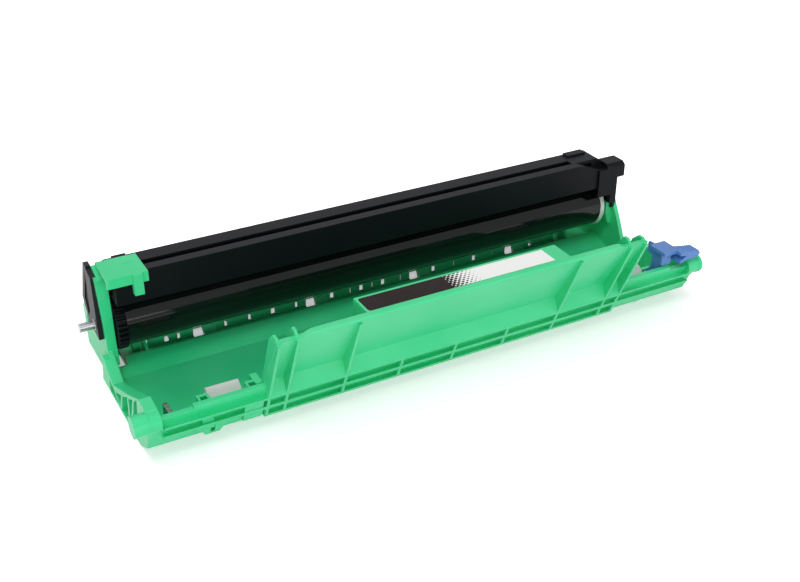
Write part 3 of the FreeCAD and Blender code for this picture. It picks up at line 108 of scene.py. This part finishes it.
class Nodes:
    """A node tree of a material or of the world, emptied and filled anew."""

    def __init__(self, tree):
        self.tree = tree
        self.tree.nodes.clear()

    def node(self, kind, inputs=None, **settings):
        """One node. Its settings are set first, then the values or links of its sockets."""
        made = self.tree.nodes.new("ShaderNode" + kind)
        for key, setting in settings.items():
            setattr(made, key, setting)
        for key, given in (inputs or {}).items():
            self.give(made.inputs[key], given)
        return made

    def give(self, socket, given):
        """Sets a socket to a number or a colour, or links it."""
        if isinstance(given, Value):
            given = given.socket
        if isinstance(given, bpy.types.NodeSocket):
            self.tree.links.new(given, socket)
        elif isinstance(given, tuple) and len(given) == 3 and socket.type == "RGBA":
            socket.default_value = (*given, 1.0)
        else:
            socket.default_value = given

    def spread(self, value, low, high, out_low=0.0, out_high=1.0):
        """A value's range from low to high, drawn out over another range and held at its ends."""
        made = self.node("MapRange", {0: value, 1: low, 2: high, 3: out_low, 4: out_high})
        return Value(self, made.outputs[0])

    def seen(self):
        """One where the camera, a glossy surface or glass looks, nought where only light falls."""
        ray = self.node("LightPath")
        camera = Value(self, ray.outputs["Is Camera Ray"])
        glossy = Value(self, ray.outputs["Is Glossy Ray"])
        glass = Value(self, ray.outputs["Is Transmission Ray"])
        return camera.most(glossy).most(glass)


class Finish(Nodes):
    """One material with its shader nodes."""

    def __init__(self, name):
        self.material = bpy.data.materials.new(name)
        self.material.use_nodes = True
        super().__init__(self.material.node_tree)
        self.shader = self.node("BsdfPrincipled")
        self.node("OutputMaterial", {"Surface": self.shader.outputs[0]})

    def set(self, **inputs):
        """Sets or links the shader's sockets, with an underscore for each space in a name."""
        for key, given in inputs.items():
            self.give(self.shader.inputs[key.replace("_", " ")], given)

    def place(self):
        """Where a point is on the object, in metres."""
        return self.node("TexCoord").outputs["Object"]

    def axis(self, letter):
        """Where a point is along one axis, in metres."""
        split = self.node("SeparateXYZ", {0: self.place()})
        return Value(self, split.outputs[letter])

    def from_drum(self, letter):
        """How far along one axis a point is from the drum's middle, in millimetres."""
        return self.axis(letter) * (1.0 / MM) - DRUM_MIDDLE[letter]

    def cloud(self, size, detail=3.0, rough=0.5):
        """A soft random value whose lumps are about this many millimetres across."""
        made = self.node("TexNoise", {"Vector": self.place(), "Scale": 1.0 / (size * MM),
                                      "Detail": detail, "Roughness": rough})
        return Value(self, made.outputs["Fac"])

    def streaks(self, size, stretch):
        """A soft random value drawn out along X."""
        drawn = self.node("Mapping", {"Vector": self.place(), "Scale": (1.0 / stretch, 1.0, 1.0)})
        made = self.node("TexNoise", {"Vector": drawn.outputs[0], "Scale": 1.0 / (size * MM),
                                      "Detail": 3.0})
        return Value(self, made.outputs["Fac"])

    def between(self, noise, low, high):
        """A soft noise turned into a value between two others."""
        return self.spread(noise, NOISE_LOW, NOISE_HIGH, low, high)

    def blend(self, factor, first, second):
        """A colour between two colours."""
        made = self.node("Mix", data_type="RGBA", blend_type="MIX")
        self.give(made.inputs[0], factor)
        self.give(made.inputs[6], first)
        self.give(made.inputs[7], second)
        return made.outputs[2]

    def tint(self, colour):
        """Gives the surface its colour, and keeps it for what is painted over it."""
        self.base = colour
        self.set(Base_Color=colour)

    def paint(self, mask, colour):
        """Lays another colour over the surface where the mask is one."""
        self.tint(self.blend(mask, self.base, colour))

    def rounded(self, radius):
        """The normal of an edge that is broken by a small radius."""
        return self.node("Bevel", {"Radius": radius * MM}, samples=6).outputs[0]

    def edges(self, radius):
        """One along the outer and inner edges, nought on the flats."""
        flat = self.node("NewGeometry").outputs["True Normal"]
        soft = self.rounded(radius)
        near = self.node("VectorMath", {0: flat, 1: soft}, operation="DOT_PRODUCT")
        return self.spread(Value(self, near.outputs["Value"]), EDGE_BEGINS, EDGE_FULL)

    def bump(self, height, depth, radius):
        """Fine relief over rounded edges. The depth and the radius are in millimetres."""
        made = self.node("Bump", {"Height": height, "Distance": depth * MM, "Strength": 1.0,
                                  "Normal": self.rounded(radius)})
        return made.outputs[0]


def rgb(red, green, blue):
    """A colour given as it looks on screen, 0 to 255, in the linear numbers that a shader takes."""
    def linear(part):
        part /= 255.0
        return part / 12.92 if part <= 0.04045 else ((part + 0.055) / 1.055) ** 2.4
    return (linear(red), linear(green), linear(blue))


# finishes, with lengths in millimetres

CLOUD_SIZE = 38.0
CLOUD_LOW = 0.35
CLOUD_HIGH = 0.65
MOULDED_EDGE = 0.3
EDGE_HIGHLIGHT_SHARE = 0.5
MOULDED_SMOOTHER = 0.05
MOULDED_ROUGHER = 0.06


def moulded(name, body, pale, rough, grain, grain_depth, cloud_share=0.3):
    """Moulded plastic: a fine grain, slow random changes of tone, and a painted highlight that makes
    the edges paler.
    """
    finish = Finish(name)
    slow = finish.cloud(CLOUD_SIZE, detail=2.0)
    fine = finish.cloud(grain, detail=4.0, rough=0.6)
    shade = finish.spread(slow, CLOUD_LOW, CLOUD_HIGH, 0.0, cloud_share)
    # painted highlight: the edges are painted paler, as if lit
    edge = finish.edges(MOULDED_EDGE) * EDGE_HIGHLIGHT_SHARE
    finish.tint(finish.blend(shade.most(edge), body, pale))
    finish.set(Roughness=finish.between(fine, rough - MOULDED_SMOOTHER, rough + MOULDED_ROUGHER))
    finish.set(Normal=finish.bump(fine, grain_depth, MOULDED_EDGE))
    return finish


STREAK_STRETCH = 30.0
STREAK_DARKER = 0.75
STREAK_ROUGH = 0.08
STREAK_DEPTH = 0.01
METAL_EDGE = 0.15


def drawn_metal(name, bright, rough, streak_size=0.4):
    """Drawn or turned metal with streaks along X."""
    finish = Finish(name)
    lines = finish.streaks(streak_size, STREAK_STRETCH)
    finish.tint(finish.blend(lines, bright, tuple(STREAK_DARKER * part for part in bright)))
    finish.set(Metallic=1.0)
    finish.set(Roughness=finish.between(lines, rough - STREAK_ROUGH, rough + STREAK_ROUGH))
    finish.set(Normal=finish.bump(lines, STREAK_DEPTH, METAL_EDGE))
    return finish


green = moulded("green_plastic", rgb(38, 202, 131), rgb(96, 222, 163),
                rough=0.4, grain=0.5, grain_depth=0.012)
black = moulded("black_plastic", rgb(8, 10, 14), rgb(34, 36, 41),
                rough=0.46, grain=0.35, grain_depth=0.015, cloud_share=0.06)
grey = moulded("grey_plastic", rgb(14, 17, 19), rgb(46, 50, 50),
               rough=0.5, grain=0.35, grain_depth=0.02)
dark = moulded("dark_plastic", rgb(30, 32, 36), rgb(70, 72, 76),
               rough=0.4, grain=0.4, grain_depth=0.01)
white = moulded("white_plastic", rgb(196, 200, 197), rgb(230, 232, 230),
                rough=0.42, grain=0.5, grain_depth=0.01)
blue = moulded("blue_plastic", rgb(52, 108, 182), rgb(120, 166, 220),
               rough=0.34, grain=0.5, grain_depth=0.01)
steel = drawn_metal("steel", rgb(176, 176, 180), rough=0.3)
bright_steel = drawn_metal("bright_steel", rgb(214, 214, 210), rough=0.24, streak_size=1.6)
black.set(Specular_IOR_Level=0.1)
grey.set(Specular_IOR_Level=0.2)

# painted highlight: the charger housing's front top strip is painted paler, as if lit,
# less so towards the right end
STRIP_FRONT = -13.3
STRIP_BACK = -8.9
STRIP_LOW = 27.6
STRIP_FADE_FROM = 20.0
STRIP_FADE_TO = 105.0
STRIP_LEAST = 0.2
strip_y = black.from_drum("Y")
strip = (strip_y > STRIP_FRONT) * (strip_y < STRIP_BACK) * (black.from_drum("Z") > STRIP_LOW)
highlight_fade = black.spread(black.from_drum("X"), STRIP_FADE_FROM, STRIP_FADE_TO, 1.0, STRIP_LEAST)
# the painted highlight, laid over the strip and fading towards the right
black.paint(strip * highlight_fade, rgb(22, 25, 30))

# the charger's grid is painted dark in a band from 13 to 14.6 mm above the drum's middle
GRID_LOW = 13.0
GRID_HIGH = 14.6
grid_z = bright_steel.from_drum("Z")
bright_steel.paint((grid_z > GRID_LOW) * (grid_z < GRID_HIGH), rgb(16, 18, 18))

# the left cover is painted near black above 26 mm over the drum's middle
COVER_EDGE_LOW = 26.0
grey.paint(grey.from_drum("Z") > COVER_EDGE_LOW, rgb(12, 14, 18))

coating = Finish("drum_coating")
film = coating.streaks(size=6.0, stretch=12.0)
coating.tint(coating.blend(film, rgb(10, 14, 14), rgb(14, 20, 19)))
coating.set(Roughness=coating.between(film, 0.04, 0.08))
coating.set(Specular_IOR_Level=0.24)
coating.set(Normal=coating.bump(coating.cloud(0.4), depth=0.0008, radius=0.1))

FOAM_CELL = 0.6
foam = Finish("black_rubber")
cells = foam.node("TexVoronoi", {"Vector": foam.place(), "Scale": 1.0 / (FOAM_CELL * MM)})
cell = Value(foam, cells.outputs["Distance"])
foam.tint(foam.blend(cell, rgb(22, 22, 24), rgb(58, 58, 60)))
foam.set(Roughness=0.9)
foam.set(Normal=foam.bump(cell, depth=0.15, radius=0.2))

felt = Finish("felt")
fibre = felt.cloud(0.35, detail=6.0, rough=0.8)
felt.tint(felt.blend(fibre, rgb(176, 172, 160), rgb(226, 224, 214)))
felt.set(Roughness=0.95)
felt.set(Normal=felt.bump(fibre, depth=0.2, radius=0.2))

FINISHES = {
    "green_plastic": green,
    "black_plastic": black,
    "grey_plastic": grey,
    "dark_plastic": dark,
    "white_plastic": white,
    "blue_plastic": blue,
    "steel": steel,
    "bright_steel": bright_steel,
    "drum_coating": coating,
    "black_rubber": foam,
    "felt": felt,
}


def dress(piece, finish):
    piece.data.materials.clear()
    piece.data.materials.append(finish.material)


for part in frame["record"]["subparts"]:
    dress(nodes[part["node"]], FINISHES[part["material_slot"]])


# the label on the tray's deck, placed about the drum's middle

LABEL_LEFT = -47.4
LABEL_RIGHT = 40.8
LABEL_FRONT = -86.9
LABEL_BACK = -76.5
LABEL_CORNER = 1.4
LABEL_CORNER_STEPS = 8
LABEL_THICK = 0.1
DECK_TOP = 27.3


def plate(name, outline, low, high):
    """A flat plate with the given outline, from one height to another, all in metres."""
    shape = bmesh.new()
    under = [shape.verts.new((x, y, low)) for x, y in outline]
    over = [shape.verts.new((x, y, high)) for x, y in outline]
    shape.faces.new(list(reversed(under)))
    shape.faces.new(over)
    count = len(outline)
    for i in range(count):
        j = (i + 1) % count
        shape.faces.new([under[i], under[j], over[j], over[i]])
    mesh = bpy.data.meshes.new(name)
    shape.to_mesh(mesh)
    shape.free()
    piece = bpy.data.objects.new(name, mesh)
    bpy.context.scene.collection.objects.link(piece)
    return piece


def label_corner(x, y, start):
    """The label's rounded corner about (x, y), from the given angle on, in millimetres."""
    steps = range(LABEL_CORNER_STEPS + 1)
    turn = [math.radians(start + 90.0 * i / LABEL_CORNER_STEPS) for i in steps]
    return [(x + LABEL_CORNER * math.cos(a), y + LABEL_CORNER * math.sin(a)) for a in turn]


def at(x, y):
    """A plan point in metres, given in millimetres from the drum's middle."""
    return ((DRUM_MIDDLE["X"] + x) * MM, (DRUM_MIDDLE["Y"] + y) * MM)


label_outline = (
    label_corner(LABEL_LEFT + LABEL_CORNER, LABEL_FRONT + LABEL_CORNER, 180.0)
    + [(LABEL_RIGHT, LABEL_FRONT), (LABEL_RIGHT, LABEL_BACK)]
    + label_corner(LABEL_LEFT + LABEL_CORNER, LABEL_BACK - LABEL_CORNER, 90.0)
)
label_low = (DRUM_MIDDLE["Z"] + DECK_TOP) * MM
label = plate("label", [at(x, y) for x, y in label_outline], label_low, label_low + LABEL_THICK * MM)

# the print fades from dark to bare through rows of dots that shrink, every
# second row shifted by half a pitch
DOT_PITCH_X = 2.1
DOT_PITCH_Y = 2.6
DOT_FROM = -9.0
DOT_TO = 8.0
DOT_REACH = 0.95

paper = Finish("label_print")
across = paper.from_drum("X")
along = paper.from_drum("Y")
fade = paper.spread(across, DOT_FROM, DOT_TO)


def to_dot(shift_x, shift_y):
    """How far a point is from the nearest dot of one set of rows."""
    column = (across + shift_x).wrap(DOT_PITCH_X) - DOT_PITCH_X / 2
    line = (along + shift_y).wrap(DOT_PITCH_Y) - DOT_PITCH_Y / 2
    return (column * column + line * line) ** 0.5


nearest = to_dot(0.0, 0.0).least(to_dot(DOT_PITCH_X / 2, DOT_PITCH_Y / 2))
ink = (nearest < (1.0 - fade) * DOT_REACH).most(across < DOT_FROM)
wear = paper.cloud(9.0)
paper.tint(paper.blend(ink, rgb(244, 244, 242), rgb(26, 15, 14)))
paper.set(Roughness=paper.between(wear, 0.42, 0.54))
paper.set(Specular_IOR_Level=0.1)
paper.set(Normal=paper.bump(wear, depth=0.02, radius=0.1))
dress(label, paper)
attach(label, "frame")

# floor and background, with lengths in metres

FLOOR_HALF = 3.0
FLOOR_THICK = 0.002
FLOOR_COLOUR = (0.92, 0.84, 0.9)
floor = plate("floor", [(-FLOOR_HALF, -FLOOR_HALF), (FLOOR_HALF, -FLOOR_HALF),
                        (FLOOR_HALF, FLOOR_HALF), (-FLOOR_HALF, FLOOR_HALF)], -FLOOR_THICK, 0.0)
ground = Finish("floor_white")
ground.set(Base_Color=FLOOR_COLOUR)
ground.set(Roughness=0.6)

# the floor glows towards white past the part's footprint, so that only the
# shade close to the part is left on it
FOOT_X = 0.139
FOOT_Y = 0.06
SHADE_REACH = 0.035
GLOW_NEAR = 0.42
GLOW_FAR = 0.88
past_x = abs(ground.axis("X")) - FOOT_X
past_y = abs(ground.axis("Y")) - FOOT_Y
glow = ground.spread(past_x.most(past_y), 0.0, SHADE_REACH, GLOW_NEAR, GLOW_FAR) * ground.seen()
ground.set(Emission_Color=ground.blend(glow, BLACK, WHITE))
ground.set(Emission_Strength=1.0)
dress(floor, ground)

# the world is white where it is seen or mirrored, and lights the part by less
WORLD_LIGHT = 0.34
world = bpy.data.worlds.new("studio")
bpy.context.scene.world = world
world.use_nodes = True
sky = Nodes(world.node_tree)
strength = sky.spread(sky.seen(), 0.0, 1.0, WORLD_LIGHT, 1.0)
background = sky.node("Background", {"Color": WHITE, "Strength": strength})
sky.node("OutputWorld", {"Surface": background.outputs[0]})

LAMPS_AIM = Vector((0.0, 0.0, 0.03))


def lamp(name, place, width, height, power):
    """A rectangular lamp that looks at the part."""
    light = bpy.data.lights.new(name, "AREA")
    light.shape = "RECTANGLE"
    light.size = width
    light.size_y = height
    light.energy = power
    holder = bpy.data.objects.new(name, light)
    bpy.context.scene.collection.objects.link(holder)
    holder.location = place
    holder.rotation_mode = "QUATERNION"
    holder.rotation_quaternion = (LAMPS_AIM - Vector(place)).to_track_quat("-Z", "Y")


lamp("key", place=(-0.4, -0.5, 1.25), width=0.7, height=0.5, power=6.5)
lamp("back", place=(-0.35, 0.55, 1.1), width=0.5, height=0.4, power=3.5)
lamp("front", place=(-0.45, -1.25, 0.36), width=1.3, height=0.4, power=6.0)
lamp("fill", place=(1.6, -0.9, 0.5), width=0.7, height=0.4, power=4.4)
lamp("line", place=(0.0, -1.5, 0.42), width=1.2, height=0.03, power=1.2)

# camera, fitted to the photograph's vanishing lines
CAMERA_PLACE = (-214.8 * MM, -397.1 * MM, 280.7 * MM)
CAMERA_AHEAD = Vector((0.41337, 0.76274, -0.49735))
CAMERA_RIGHT = Vector((0.87919, -0.47648, 0.0))
CAMERA_LENS = 51.2
CAMERA_SENSOR = 36.0
CAMERA_NEAREST = 0.02
CAMERA_FARTHEST = 20.0

camera_data = bpy.data.cameras.new("camera")
camera_data.lens = CAMERA_LENS
camera_data.sensor_width = CAMERA_SENSOR
camera_data.clip_start = CAMERA_NEAREST
camera_data.clip_end = CAMERA_FARTHEST
camera = bpy.data.objects.new("camera", camera_data)
bpy.context.scene.collection.objects.link(camera)
backward = -CAMERA_AHEAD.normalized()
rightward = CAMERA_RIGHT.normalized()
upward = backward.cross(rightward)
turn = Matrix((rightward, upward, backward)).transposed().to_4x4()
camera.matrix_world = Matrix.Translation(CAMERA_PLACE) @ turn
bpy.context.scene.camera = camera

bpy.context.scene.view_settings.view_transform = "Standard"
